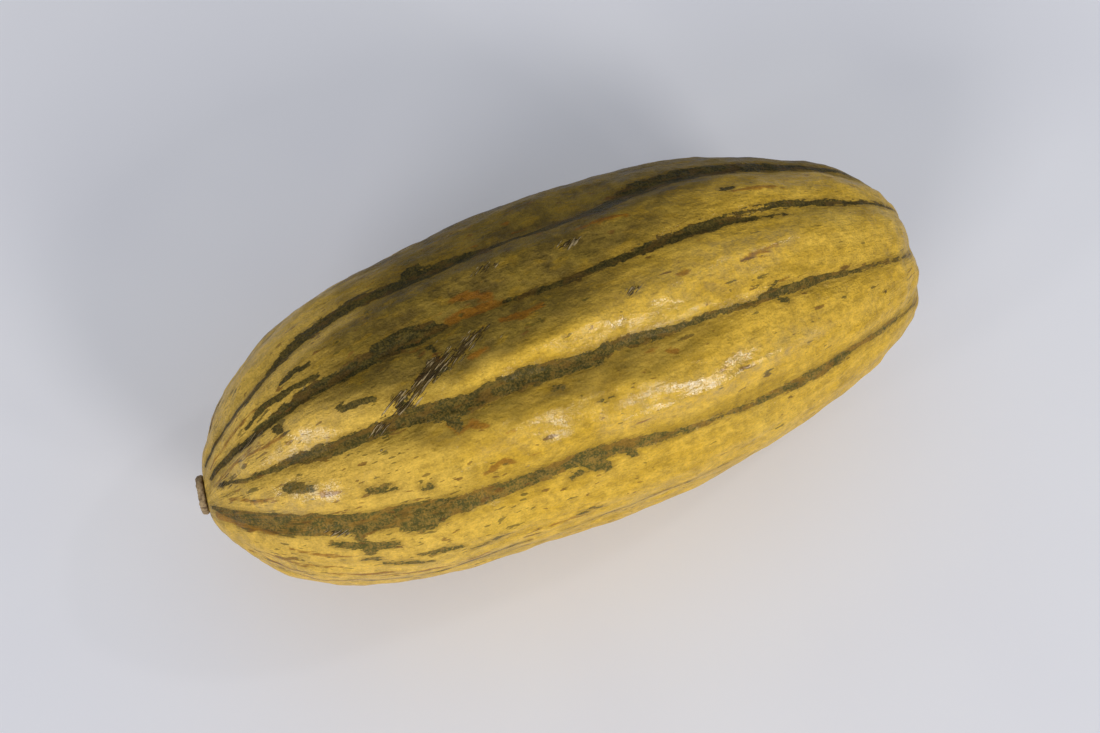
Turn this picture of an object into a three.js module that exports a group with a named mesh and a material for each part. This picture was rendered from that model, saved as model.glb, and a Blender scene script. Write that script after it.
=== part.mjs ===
// Delicata squash lying on its side: one oblong ribbed fruit and the corky stub of its cut stem.
// Millimetres. X runs from the stem end (-X) to the blossom end (+X) and Z is up.

import * as THREE from "three";

// The bare fruit, before the ribs: how far it reaches to either side of its widest girth.
const STEM_REACH = 110.4;
const BLOSSOM_REACH = 89;
const GIRTH_RADIUS = 45.3;
// Each half closes as (1 - q^FULL)^(1 / BLUNT), with q the fraction of the reach.
const STEM_FULL = 6.6;
const STEM_BLUNT = 1.3;
const BLOSSOM_FULL = 1.9;
const BLOSSOM_BLUNT = 3.6;
// Fraction of the radius lost at TAPER_REACH from the widest girth, growing with the square.
const TAPER = 0.21;
const TAPER_REACH = 100;

// The fruit is not quite straight: its middle stands off the line between the ends.
const BOW_SIDE = 4.7;
const BOW_DOWN = 2.4;
const BOW_REACH = 110;

// The ten furrows, as an angle from straight up, turning towards -Y.
// Each is written [at the stem end, at the blossom end] because the ribs spread along the fruit.
const FURROWS_DEG = [
  [-56, -61], [-21, -34], [2, -5], [22, 33], [51, 68],
  [103, 104], [142, 142], [181, 181], [220, 220], [261, 260],
];
// Depth of a furrow under the rib crests, as a fraction of the local radius.
const FURROW_DEPTH = 0.052;
// Larger makes the rib crests flatter and the furrows narrower.
const RIB_FULL = 2.2;

// How the fruit settles: small turns about the side-to-side and the lengthwise axis.
const REST_PITCH_DEG = -1.2;
const REST_ROLL_DEG = 0;
// The flattened field spots it lies on are this deep into the two lowest ribs.
const FIELD_SPOT_DEPTH = 0.6;

// The stub: a low five-lobed disc of cork on a flat seat, which leans off the line of the fruit.
const STUB_RADIUS = 4.9;
const STUB_HEIGHT = 1.9;
const STUB_LOBES = 5;
const STUB_LOBE_DEPTH = 0.05;
const STUB_EDGE = 0.5;
const STUB_DISH = 0.3;
const STUB_GAP = 0.3;
const SEAT_DEPTH = 2.2;
// The stem left the vine a little aside from the very tip.
const SEAT_SIDE = 2.4;
const SEAT_UP = 1.4;
const SEAT_LEAN_UP_DEG = 4;
const SEAT_LEAN_SIDE_DEG = -8;

// Mesh fineness.
const RINGS = 40;
const SPOKES = 80;
const STUB_SPOKES = 30;

const FRUIT_COLOUR = 0xc9a24a;
const STUB_COLOUR = 0xb59a78;

const radians = (degrees) => (degrees * Math.PI) / 180;

// Radius of the ribless fruit at a signed distance from the widest girth.
function bareRadius(x) {
  const stemSide = x < 0;
  const q = Math.min(1, Math.abs(x) / (stemSide ? STEM_REACH : BLOSSOM_REACH));
  const full = stemSide ? STEM_FULL : BLOSSOM_FULL;
  const blunt = stemSide ? STEM_BLUNT : BLOSSOM_BLUNT;
  const taper = 1 - TAPER * (x / TAPER_REACH) ** 2;
  return GIRTH_RADIUS * taper * (1 - q ** full) ** (1 / blunt);
}

// Height of the rib at an angle: 1 on the crest, 0 in the furrow.
function ribHeight(angle, along) {
  const furrows = FURROWS_DEG.map(([stem, blossom]) => radians(stem + (blossom - stem) * along));
  const turn = 2 * Math.PI;
  for (let i = 0; i < furrows.length; i += 1) {
    const width = (furrows[(i + 1) % furrows.length] - furrows[i] + turn) % turn;
    const offset = (((angle - furrows[i]) % turn) + turn) % turn;
    if (offset < width) {
      return 1 - Math.abs((2 * offset) / width - 1) ** RIB_FULL;
    }
  }
  return 1;
}

// The middle line of the fruit at a distance from the widest girth.
function spine(x) {
  const arch = 1 - (x / BOW_REACH) ** 2;
  return new THREE.Vector3(x, BOW_SIDE * arch, -BOW_DOWN * arch);
}

// A closed skin over rings of equal length, with a single point at each end.
function closedSkin(firstPole, rings, lastPole) {
  const points = [firstPole, ...rings.flat(), lastPole];
  const spokes = rings[0].length;
  const last = points.length - 1;
  const at = (ring, spoke) => 1 + ring * spokes + (spoke % spokes);
  const faces = [];
  for (let s = 0; s < spokes; s += 1) {
    faces.push(0, at(0, s + 1), at(0, s));
    faces.push(last, at(rings.length - 1, s), at(rings.length - 1, s + 1));
    for (let r = 0; r < rings.length - 1; r += 1) {
      faces.push(at(r, s), at(r, s + 1), at(r + 1, s + 1));
      faces.push(at(r, s), at(r + 1, s + 1), at(r + 1, s));
    }
  }
  return { points, faces };
}

function makeMesh(skin, name, colour) {
  const geometry = new THREE.BufferGeometry();
  const flat = skin.points.flatMap((point) => [point.x, point.y, point.z]);
  geometry.setAttribute("position", new THREE.Float32BufferAttribute(flat, 3));
  geometry.setIndex(skin.faces);
  geometry.computeVertexNormals();
  const material = new THREE.MeshStandardMaterial({ color: colour, roughness: 0.5 });
  const mesh = new THREE.Mesh(geometry, material);
  mesh.name = name;
  return mesh;
}

// The fruit's rings crowd towards the ends, where the skin turns in quickly.
function fruitSkin() {
  const rings = [];
  for (let r = 1; r < RINGS; r += 1) {
    const swing = Math.sin(Math.PI * (r / RINGS - 0.5));
    const x = swing * (swing < 0 ? STEM_REACH : BLOSSOM_REACH);
    const along = (x + STEM_REACH) / (STEM_REACH + BLOSSOM_REACH);
    const ring = [];
    for (let s = 0; s < SPOKES; s += 1) {
      const angle = (2 * Math.PI * s) / SPOKES;
      const radius = bareRadius(x) * (1 - FURROW_DEPTH * (1 - ribHeight(angle, along)));
      const spoke = new THREE.Vector3(0, -radius * Math.sin(angle), radius * Math.cos(angle));
      ring.push(spine(x).add(spoke));
    }
    rings.push(ring);
  }
  return closedSkin(spine(-STEM_REACH), rings, spine(BLOSSOM_REACH));
}

// Where the stub stands: a point on the seat, the way it faces and two directions across it.
function seatFrame() {
  const lean = new THREE.Euler(0, radians(SEAT_LEAN_UP_DEG), radians(SEAT_LEAN_SIDE_DEG));
  const outward = new THREE.Vector3(-1, 0, 0).applyEuler(lean);
  const across = new THREE.Vector3(0, 1, 0).applyEuler(lean);
  const up = new THREE.Vector3().crossVectors(across, outward);
  const aside = new THREE.Vector3(0, SEAT_SIDE, SEAT_UP);
  const point = spine(-STEM_REACH + SEAT_DEPTH).add(aside);
  return { point, outward, across, up };
}

// Presses every point that stands beyond the seat back onto it.
function pressSeat(points, seat) {
  for (const point of points) {
    const beyond = point.clone().sub(seat.point).dot(seat.outward);
    if (beyond > 0) {
      point.addScaledVector(seat.outward, -beyond);
    }
  }
}

function stubSkin(seat) {
  const place = (radius, angle, height) => seat.point.clone()
    .addScaledVector(seat.across, radius * Math.cos(angle))
    .addScaledVector(seat.up, radius * Math.sin(angle))
    .addScaledVector(seat.outward, STUB_GAP + height);
  const outline = [
    [STUB_RADIUS - STUB_EDGE, 0],
    [STUB_RADIUS, STUB_EDGE],
    [STUB_RADIUS, STUB_HEIGHT - STUB_EDGE],
    [STUB_RADIUS - STUB_EDGE, STUB_HEIGHT],
    [STUB_RADIUS / 2, STUB_HEIGHT - STUB_DISH],
  ];
  const rings = outline.map(([radius, height]) => {
    const ring = [];
    for (let s = 0; s < STUB_SPOKES; s += 1) {
      const angle = (-2 * Math.PI * s) / STUB_SPOKES;
      const lobe = 1 + STUB_LOBE_DEPTH * Math.cos(STUB_LOBES * angle);
      ring.push(place(radius * lobe, angle, height));
    }
    return ring;
  });
  return closedSkin(place(0, 0, 0), rings, place(0, 0, STUB_HEIGHT - STUB_DISH));
}

// Turns everything into the resting pose, flattens the underside and centres the whole.
function settle(fruit, stub) {
  const turn = new THREE.Euler(radians(REST_ROLL_DEG), radians(REST_PITCH_DEG), 0);
  const all = [...fruit.points, ...stub.points];
  all.forEach((point) => point.applyEuler(turn));
  const low = Math.min(...fruit.points.map((point) => point.z)) + FIELD_SPOT_DEPTH;
  for (const point of all) {
    point.z = Math.max(0, point.z - low);
  }
  const box = new THREE.Box3().setFromPoints(all);
  const middle = box.getCenter(new THREE.Vector3());
  all.forEach((point) => point.sub(new THREE.Vector3(middle.x, middle.y, 0)));
}

const seat = seatFrame();
const fruit = fruitSkin();
pressSeat(fruit.points, seat);
const stub = stubSkin(seat);
settle(fruit, stub);

const squash = new THREE.Group();
squash.name = "delicata_squash";
squash.add(makeMesh(fruit, "fruit", FRUIT_COLOUR));
squash.add(makeMesh(stub, "stem_stub", STUB_COLOUR));

export default squash;
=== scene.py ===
# %% [markdown]
# # A delicata squash
# A delicata is an oblong winter squash, about as long as a hand. Its rind is hard, waxy and golden,
# with ten shallow furrows, and a green stripe lies in most of them. This script grows the squash
# from a rule, paints its skin with marks given in millimetres, adds the corky stub of the stem, and
# lays the whole on a pale table in soft light. Lengths are in metres, so MM turns them from
# millimetres. The solid model is loaded first, and the visible squash keeps to its size and place.

# %%
import math

import bpy
import numpy as np
from mathutils import Matrix, Vector


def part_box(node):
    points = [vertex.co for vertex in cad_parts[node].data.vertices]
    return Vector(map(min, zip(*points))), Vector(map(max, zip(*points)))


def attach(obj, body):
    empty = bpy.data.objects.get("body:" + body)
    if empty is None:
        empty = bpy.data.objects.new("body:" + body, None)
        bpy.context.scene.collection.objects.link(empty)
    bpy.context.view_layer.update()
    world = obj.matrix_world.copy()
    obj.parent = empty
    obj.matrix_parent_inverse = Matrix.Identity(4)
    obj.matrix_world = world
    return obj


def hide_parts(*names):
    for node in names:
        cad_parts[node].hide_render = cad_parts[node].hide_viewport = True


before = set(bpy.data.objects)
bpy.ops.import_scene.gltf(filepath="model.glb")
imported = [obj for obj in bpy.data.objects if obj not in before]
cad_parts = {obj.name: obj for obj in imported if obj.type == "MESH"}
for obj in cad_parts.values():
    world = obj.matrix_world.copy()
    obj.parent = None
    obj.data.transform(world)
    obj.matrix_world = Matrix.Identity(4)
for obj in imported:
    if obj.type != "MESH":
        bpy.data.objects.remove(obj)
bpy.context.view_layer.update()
fruit_low, fruit_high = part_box("fruit")
stub_low, stub_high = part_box("stem_stub")
MM = 0.001
print("solid fruit", [round(v / MM, 1) for v in fruit_high - fruit_low], "mm")

# %% [markdown]
# ## A closed tube to start from
# The skin begins as a closed tube of rings with one point at each end, like clay on a wheel before
# it is shaped. Every point remembers how far along the fruit it sits (its swing, from -1 at the stem
# to 1 at the blossom) and how far round (its turn, from straight up towards the near side). The
# rings crowd towards the ends, as a sine does, because that is where the fruit curves most. The
# points end up about a millimetre apart, which is fine enough for the smallest dent.

# %%
RINGS = 246
SPOKES = 384
swing_rows = np.sin(np.pi * (np.arange(1, RINGS) / RINGS - 0.5))
turn_columns = 2 * np.pi * np.arange(SPOKES) / SPOKES
swing_grid = np.repeat(swing_rows, SPOKES)
turn_grid = np.tile(turn_columns, RINGS - 1)
swing = np.concatenate([[-1.0], swing_grid, [1.0]])
turn = np.concatenate([[0.0], turn_grid, [0.0]])


def tube_faces(rows, spokes):
    """Faces of a closed tube: point 0, then rows of spokes, then one last point."""
    s = np.arange(spokes)
    t = (s + 1) % spokes
    faces = [(0, 1 + b, 1 + a) for a, b in zip(s.tolist(), t.tolist())]
    for r in range(rows - 1):
        here, there = 1 + r * spokes, 1 + (r + 1) * spokes
        faces += [(here + a, here + b, there + b, there + a) for a, b in zip(s.tolist(), t.tolist())]
    here, last = 1 + (rows - 1) * spokes, 1 + rows * spokes
    faces += [(last, here + a, here + b) for a, b in zip(s.tolist(), t.tolist())]
    return faces


tube = bpy.data.meshes.new("tube")
tube.from_pydata(np.zeros((len(swing), 3)).tolist(), [], tube_faces(RINGS - 1, SPOKES))
print("tube", len(tube.vertices), "points", len(tube.polygons), "faces")

# %% [markdown]
# ## Furrows and ribs
# The flower that made the fruit had its parts in fives, and the finished squash keeps ten furrows
# from them. They are not evenly spaced. Each one is given by two angles, at the stem end and at
# the blossom end, because the ribs spread a little along the fruit. Between two furrows the rib
# swells as a blunt arch, and the bottom of each furrow is rounded, since rind can't fold sharply.
# The result is one number for each point, rib, which is low in a furrow and high on a crest.

# %%
# Degrees from the top towards the near side, at the stem end and at the blossom end.
FURROWS = {
    "far_flank": (-56, -61),
    "far_top": (-21, -34),
    "top": (2, -5),
    "near_top": (22, 33),
    "near_flank": (51, 68),
    "near_low": (103, 104),
    "under_near": (142, 142),
    "under": (181, 181),
    "under_far": (220, 220),
    "far_low": (261, 260),
}
RIB_FULL = 2.2  # the power of the arch: more is a blunter rib
FURROW_ROUND = 0.16  # how much of the rib's height the rounding of a furrow takes

along = (swing + 1) / 2
stem_angles = np.radians([ends[0] for ends in FURROWS.values()])
blossom_angles = np.radians([ends[1] for ends in FURROWS.values()])
rib = np.zeros(len(swing))
rib_place = np.zeros(len(swing))
rib_number = np.zeros(len(swing), int)
for k in range(len(FURROWS)):
    n = (k + 1) % len(FURROWS)
    first = stem_angles[k] + (blossom_angles[k] - stem_angles[k]) * along
    second = stem_angles[n] + (blossom_angles[n] - stem_angles[n]) * along
    width = (second - first) % (2 * np.pi)
    place = ((turn - first) % (2 * np.pi)) / width
    inside = place < 1
    arch = 1 - np.abs(2 * place[inside] - 1) ** RIB_FULL
    rounded = np.sqrt(arch**2 + FURROW_ROUND**2) - 0.5 * FURROW_ROUND
    rib[inside] = rounded / (1 + 0.5 * FURROW_ROUND)
    rib_place[inside] = place[inside]
    rib_number[inside] = k
print("ribs", len(FURROWS))


def give(mesh, name, values):
    """Stores one number, or one vector, on every point of a mesh."""
    values = np.asarray(values, np.float32)
    kind = "FLOAT" if values.ndim == 1 else "FLOAT_VECTOR"
    store = mesh.attributes.new(name, kind, "POINT")
    store.data.foreach_set("value" if values.ndim == 1 else "vector", values.ravel())


give(tube, "swing", swing)
give(tube, "turn", turn)
give(tube, "rib", rib)

# %% [markdown]
# ## The sizes of the fruit
# Every size that shapes the fruit stands in one list. Each becomes an input of the node tree below,
# so the same tree could grow a longer, slimmer or deeper-furrowed squash. Full and Blunt shape how
# an end closes: a higher Full keeps the girth for longer, and a higher Blunt makes a flatter end.

# %%
SIZES = {
    "Stem Reach": 110.4 * MM,
    "Blossom Reach": 89 * MM,
    "Girth Radius": 45.3 * MM,
    "Stem Full": 6.6,
    "Stem Blunt": 1.3,
    "Blossom Full": 1.9,
    "Blossom Blunt": 3.6,
    "Taper": 0.21,
    "Taper Reach": 100 * MM,
    "Bow Side": 4.7 * MM,
    "Bow Down": 2.4 * MM,
    "Bow Reach": 110 * MM,
    "Furrow Depth": 0.056,
    "Swell Height": 2.2 * MM,
    "Lump Height": 2.6 * MM,
    "Dimple Height": 0.75 * MM,
}

# Three sizes of unevenness: broad swells, the hammered lumps of a ripe rind, and small dimples.
# Each has its height, how many fit into a metre, and how that number shrinks along the fruit.
UNEVENNESS = (
    ("Swell Height", 24.0, 0.5),
    ("Lump Height", 90.0, 0.5),
    ("Dimple Height", 230.0, 0.65),
)
print("sizes", len(SIZES))

# %% [markdown]
# ## Short words for nodes
# Node trees grow long when each node and link takes its own line. This small class adds a node,
# sets its sockets and links it in one call. Both the shape and the finishes are built with it.


# %%
class Tree:
    """A node tree with short ways to add nodes: a number sets a socket, anything else is linked."""

    def __init__(self, tree):
        self.tree = tree

    def node(self, kind, inputs=None, **settings):
        made = self.tree.nodes.new(kind)
        for key, value in settings.items():
            setattr(made, key, value)
        for key, value in (inputs or {}).items():
            socket = made.inputs[key]
            if isinstance(value, bpy.types.NodeSocket):
                self.tree.links.new(value, socket)
            else:
                socket.default_value = value
        return made

    def math(self, operation, a, b=0.0):
        return self.node("ShaderNodeMath", {0: a, 1: b}, operation=operation).outputs[0]

    def plus(self, a, b):
        return self.math("ADD", a, b)

    def minus(self, a, b):
        return self.math("SUBTRACT", a, b)

    def times(self, a, b):
        return self.math("MULTIPLY", a, b)


print("node helper", Tree.__name__)

# %% [markdown]
# ## The rule that grows the fruit
# A node tree turns the tube into the fruit. Each half closes by its own blunt power curve, the
# girth tapers with the square of the distance from its widest place, and the middle line bows a
# little to the side and down. The tree works out where each point goes, moves it there, and then
# pushes it in or out along its own normal by three sizes of noise. A plain mesh could be moved in
# the same way with arrays, but the tree keeps its sizes open as inputs.


# %%
def grow_tree():
    tree = bpy.data.node_groups.new("Grow Squash", "GeometryNodeTree")
    face = tree.interface
    face.new_socket("Tube", in_out="INPUT", socket_type="NodeSocketGeometry")
    for name in SIZES:
        face.new_socket(name, in_out="INPUT", socket_type="NodeSocketFloat")
    face.new_socket("Rind", in_out="INPUT", socket_type="NodeSocketMaterial")
    face.new_socket("Fruit", in_out="OUTPUT", socket_type="NodeSocketGeometry")
    t = Tree(tree)
    given = t.node("NodeGroupInput").outputs

    def stored(name):
        return t.node("GeometryNodeInputNamedAttribute", {"Name": name}, data_type="FLOAT").outputs[0]

    swing, turn, rib = stored("swing"), stored("turn"), stored("rib")
    blossom = t.math("GREATER_THAN", swing, 0.0)

    def either(stem_size, blossom_size):
        given_sizes = {0: blossom, 2: given[stem_size], 3: given[blossom_size]}
        return t.node("ShaderNodeMix", given_sizes, data_type="FLOAT").outputs[0]

    q = t.math("ABSOLUTE", swing)
    x = t.times(swing, either("Stem Reach", "Blossom Reach"))
    full = t.math("POWER", q, either("Stem Full", "Blossom Full"))
    open_part = t.math("MAXIMUM", t.minus(1.0, full), 0.0)
    closing = t.math("POWER", open_part, t.math("DIVIDE", 1.0, either("Stem Blunt", "Blossom Blunt")))
    off = t.math("POWER", t.math("ABSOLUTE", t.math("DIVIDE", x, given["Taper Reach"])), 2.0)
    taper = t.minus(1.0, t.times(given["Taper"], off))
    hollow = t.times(given["Furrow Depth"], t.minus(1.0, rib))
    radius = t.times(given["Girth Radius"], t.times(taper, closing))
    radius = t.times(radius, t.minus(1.0, hollow))
    bend = t.math("POWER", t.math("ABSOLUTE", t.math("DIVIDE", x, given["Bow Reach"])), 2.0)
    arch = t.minus(1.0, bend)
    side = t.times(radius, t.math("SINE", turn))
    up = t.times(radius, t.math("COSINE", turn))
    y = t.minus(t.times(given["Bow Side"], arch), side)
    z = t.minus(up, t.times(given["Bow Down"], arch))
    place = t.node("ShaderNodeCombineXYZ", {0: x, 1: y, 2: z}).outputs[0]
    skin = t.node("GeometryNodeSetPosition", {"Geometry": given["Tube"], "Position": place}).outputs[0]
    for height, scale, stretch in UNEVENNESS:
        where = t.node("GeometryNodeInputPosition").outputs[0]
        long_way = t.node("ShaderNodeVectorMath", {0: where, 1: (stretch, 1.0, 1.0)}, operation="MULTIPLY")
        noise = t.node("ShaderNodeTexNoise", {"Vector": long_way.outputs[0], "Scale": scale, "Detail": 2.0})
        lift = t.times(t.minus(noise.outputs[0], 0.5), given[height])
        normal = t.node("GeometryNodeInputNormal").outputs[0]
        push = t.node("ShaderNodeVectorMath", {0: normal, "Scale": lift}, operation="SCALE").outputs[0]
        skin = t.node("GeometryNodeSetPosition", {"Geometry": skin, "Offset": push}).outputs[0]
    skin = t.node("GeometryNodeRealizeInstances", {"Geometry": skin}).outputs[0]
    skin = t.node("GeometryNodeSetMaterial", {"Geometry": skin, "Material": given["Rind"]}).outputs[0]
    t.node("NodeGroupOutput", {"Fruit": skin})
    return tree


grow = grow_tree()
print("grow tree", len(grow.nodes), "nodes")

# %% [markdown]
# ## Growing it
# The tree runs as a modifier on the tube. Its inputs are set by their identifiers before the first
# evaluation, and the result is then taken as a plain mesh, so that everything after this can read
# the true place of each point of the skin.

# %%
rind = bpy.data.materials.new("rind")
seedling = bpy.data.objects.new("seedling", tube)
bpy.context.scene.collection.objects.link(seedling)
modifier = seedling.modifiers.new("Grow", "NODES")
modifier.node_group = grow
for item in grow.interface.items_tree:
    if item.in_out == "INPUT" and item.name in SIZES:
        modifier[item.identifier] = SIZES[item.name]
    if item.name == "Rind":
        modifier[item.identifier] = rind
bpy.context.view_layer.update()
grown = bpy.data.meshes.new_from_object(seedling.evaluated_get(bpy.context.evaluated_depsgraph_get()))
bpy.data.objects.remove(seedling)
points = np.zeros(len(grown.vertices) * 3)
grown.vertices.foreach_get("co", points)
points = points.reshape(-1, 3)
print("grown", len(points), "points, length", round(float(np.ptp(points[:, 0])) / MM, 1), "mm")

# %% [markdown]
# ## Settling on the table
# The fruit lies where it balances, tipped by about a degree, and its two lowest ribs are pressed
# flat, as the side that lay on the ground is. The stem end is pressed flat in the same soft way
# where the stub grew. A soft limit rounds the edge of the pressed patch instead of creasing it.
# The seat of the stub leans a little from the length of the fruit, as the stem did.

# %%
REST_PITCH = math.radians(-1.2)
SEAT_PITCH = math.radians(4)
SEAT_YAW = math.radians(-8)
SEAT_SOFTNESS = 0.4 * MM
GROUND_SOFTNESS = 0.25 * MM
STUB_HEIGHT = 1.9 * MM
STUB_GAP = 0.3 * MM
points = points @ np.array(Matrix.Rotation(REST_PITCH, 3, "Y")).T
points[:, 0] += fruit_high.x - points[:, 0].max()
points[:, 1] += (fruit_low.y + fruit_high.y - points[:, 1].min() - points[:, 1].max()) / 2
points[:, 2] += fruit_high.z - points[:, 2].max()


def soft_limit(height, softness):
    """Height held at or below zero, easing in over the last stretch below it."""
    eased = -((height - softness) ** 2) / (4 * softness)
    return np.where(height < -softness, height, np.where(height > softness, 0.0, eased))


seat_lean = Matrix.Rotation(REST_PITCH + SEAT_PITCH, 3, "Y") @ Matrix.Rotation(SEAT_YAW, 3, "Z")
seat_out = np.array(seat_lean @ Vector((-1, 0, 0)))
seat_side = np.array(seat_lean @ Vector((0, 1, 0)))
seat_up = np.cross(seat_side, seat_out)
stub_middle = np.array((stub_low + stub_high) / 2)
seat_centre = stub_middle - seat_out * (STUB_GAP + STUB_HEIGHT / 2)
seat_height = (points - seat_centre) @ seat_out
points += np.outer(soft_limit(seat_height, SEAT_SOFTNESS) - seat_height, seat_out)
points[:, 2] = -soft_limit(-points[:, 2], GROUND_SOFTNESS)
grown.vertices.foreach_set("co", points.ravel())
low_point, high_point = (round(float(edge) / MM, 2) for edge in (points[:, 2].min(), points[:, 2].max()))
print("rests at", low_point, "mm, top", high_point, "mm")

# %% [markdown]
# ## Where a mark lies
# Marks are placed as a grower would describe them: so many millimetres from the stem end, and so
# many degrees round from the top. This cell finds the point of the skin at such a place. Each
# point also gets a grain: a position with the length squeezed, so that any texture read from it is
# drawn out along the fruit and runs together at the two ends, as real streaks do.

# %%
STEM_REACH_MM = SIZES["Stem Reach"] / MM
BLOSSOM_REACH_MM = SIZES["Blossom Reach"] / MM
GRAIN_LENGTH = 5  # mm along the fruit to one unit of grain
GRAIN_RADIUS = 24  # units of grain in the radius, for streaks of one to three millimetres
station = np.where(swing < 0, swing * STEM_REACH_MM, swing * BLOSSOM_REACH_MM) + STEM_REACH_MM
turn_deg = (np.degrees(turn) + 180) % 360 - 180
skin_grid = points[1:-1].reshape(RINGS - 1, SPOKES, 3)
station_rows = station[1:-1].reshape(RINGS - 1, SPOKES)[:, 0]
round_way = [GRAIN_RADIUS * np.cos(turn), GRAIN_RADIUS * np.sin(turn)]
give(grown, "grain", np.stack([station / GRAIN_LENGTH, *round_way], 1))


def skin_at(stations, degrees):
    """Points of the skin at these stations (mm) and angles (degrees from the top)."""
    row = np.interp(stations, station_rows, np.arange(RINGS - 1))
    column = (np.asarray(degrees, float) % 360) * SPOKES / 360
    r, c = np.clip(row.astype(int), 0, RINGS - 3), column.astype(int)
    a, b = (row - r)[:, None], (column - c)[:, None]
    c, d = c % SPOKES, (c + 1) % SPOKES
    low = skin_grid[r, c] * (1 - b) + skin_grid[r, d] * b
    high = skin_grid[r + 1, c] * (1 - b) + skin_grid[r + 1, d] * b
    return low * (1 - a) + high * a


def smooth_step(values, low, high):
    """0 up to low, 1 from high on, and an easy curve between."""
    part = np.clip((values - low) / (high - low), 0, 1)
    return part * part * (3 - 2 * part)


print("middle of the top", (skin_at(np.array([100.0]), np.array([0.0]))[0] / MM).round(1))

# %% [markdown]
# ## Drawing a line on the skin
# Every mark is a tapering line, given by a few rows of station, angle and half width. It is filled
# with closely spaced spots, and each point of the skin learns how far it lies inside the nearest
# spot, in millimetres. That depth is worth more than a plain yes or no, because a noise can be
# added to it later, which frays the edge of the mark. Points far from the line are skipped.

# %%
MM_PER_DEGREE = 0.7
OUTSIDE = -9.0  # mm, the depth given to points that are far from the line
SEARCH_MARGIN = 12 * MM


def inside_line(path, spacing=0.5):
    """Depth of each skin point inside a line with rows of station, angle and half width, in mm."""
    path = np.array(path, float)
    steps = np.maximum(np.abs(np.diff(path[:, 0])), np.abs(np.diff(path[:, 1])) * MM_PER_DEGREE)
    reach = np.concatenate([[0], np.cumsum(steps)])
    dense = np.linspace(0, reach[-1], max(2, int(reach[-1] / spacing) + 1))
    rows = [np.interp(dense, reach, path[:, i]) for i in range(3)]
    spots = skin_at(rows[0], rows[1])
    depth = np.full(len(points), OUTSIDE)
    low, high = spots.min(0) - SEARCH_MARGIN, spots.max(0) + SEARCH_MARGIN
    near = np.nonzero(((points > low) & (points < high)).all(1))[0]
    best = np.full(len(near), OUTSIDE)
    for spot, half in zip(spots, rows[2]):
        away = np.linalg.norm(points[near] - spot, axis=1) / MM
        best = np.maximum(best, half - away)
    depth[near] = best
    return depth


def inside_any(lines):
    """The greatest depth in any of these lines."""
    return np.maximum.reduce([inside_line(line) for line in lines])


print("points in a test spot", int((inside_line([(100, 0, 3), (101, 0, 3)]) > 0).sum()))

# %% [markdown]
# ## Ridges and dents
# Some ribs carry a finer raised line along the crest or the shoulder, where the flesh under the
# rind shrank on drying, and there are shallow dents between. Each is a line with a height in
# millimetres, laid over the skin as a soft swelling, upwards or downwards, that fades at both ends.
# The blossom end gets a shallow dimple with a small raised button in it, where the flower sat.

# %%
RIDGES = [
    # path of (station, angle), height, breadth
    ([(96, 50), (112, 52), (126, 51), (142, 48), (160, 46), (176, 45)], 0.55, 1.5),
    ([(84, 18), (100, 17), (116, 16), (132, 14), (150, 11), (170, 9)], 0.75, 2.6),
    ([(70, -17), (96, -15), (112, -13), (126, -18), (140, -22), (164, -25)], 0.70, 2.2),
    ([(20, 10), (34, 11), (52, 12)], 0.50, 2.0),
    ([(36, -14), (58, -13), (86, -12)], 0.40, 2.6),
    ([(60, 44), (74, 46), (90, 44)], -0.45, 3.0),
    ([(116, 38), (128, 40), (140, 38)], -0.60, 3.6),
    ([(104, 8), (114, 9), (124, 7)], -0.45, 3.0),
    ([(150, 20), (160, 20), (172, 21)], -0.35, 3.0),
    ([(60, 76), (90, 78), (120, 78)], 0.40, 3.0),
    ([(84, 118), (120, 120), (150, 121)], 0.5, 2.6),
    ([(40, 160), (90, 162)], -0.4, 3.0),
    ([(60, 236), (100, 240), (150, 238)], 0.55, 2.6),
    ([(40, 284), (90, 282), (140, 284)], 0.5, 2.4),
]
END_FADE = 8  # mm
ABOVE_GROUND = 1.5 * MM
ring_x, ring_y, ring_z = (skin_grid[:, :, axis].mean(1) for axis in range(3))
middle_y, middle_z = np.interp(points[:, 0], ring_x, ring_y), np.interp(points[:, 0], ring_x, ring_z)
outward = points - np.stack([points[:, 0], middle_y, middle_z], 1)
outward /= np.maximum(np.linalg.norm(outward, axis=1, keepdims=True), 1e-9)
lift = np.zeros(len(points))
for path, height, breadth in RIDGES:
    away = -inside_line([(s, a, 0.0) for s, a in path], spacing=1.0)
    start = np.clip((station - path[0][0] + END_FADE) / (2 * END_FADE), 0, 1)
    end = np.clip((path[-1][0] + END_FADE - station) / (2 * END_FADE), 0, 1)
    lift += height * MM * np.exp(-((away / breadth) ** 2)) * start * end * (away < -OUTSIDE - 0.1)
points += outward * lift[:, None] * (points[:, 2] > ABOVE_GROUND)[:, None]
tip_away = np.linalg.norm(points - points[-1], axis=1) / MM
dimple = 0.9 * np.exp(-((tip_away / 6.0) ** 2))
button = 0.8 * np.exp(-((tip_away / 1.7) ** 2))
points[:, 0] -= (dimple - button) * MM
grown.vertices.foreach_set("co", points.ravel())
print("ridges", len(RIDGES), "highest", round(float(lift.max()) / MM, 2), "mm")

# %% [markdown]
# ## The stripes
# The green stripes lie in the furrows. They thin out and break, swell where they run over a bump,
# and send short arms over the ribs. Each stripe is a line with a half width that changes along it;
# its ragged edge is added later, in the material, where it costs no points.

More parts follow.
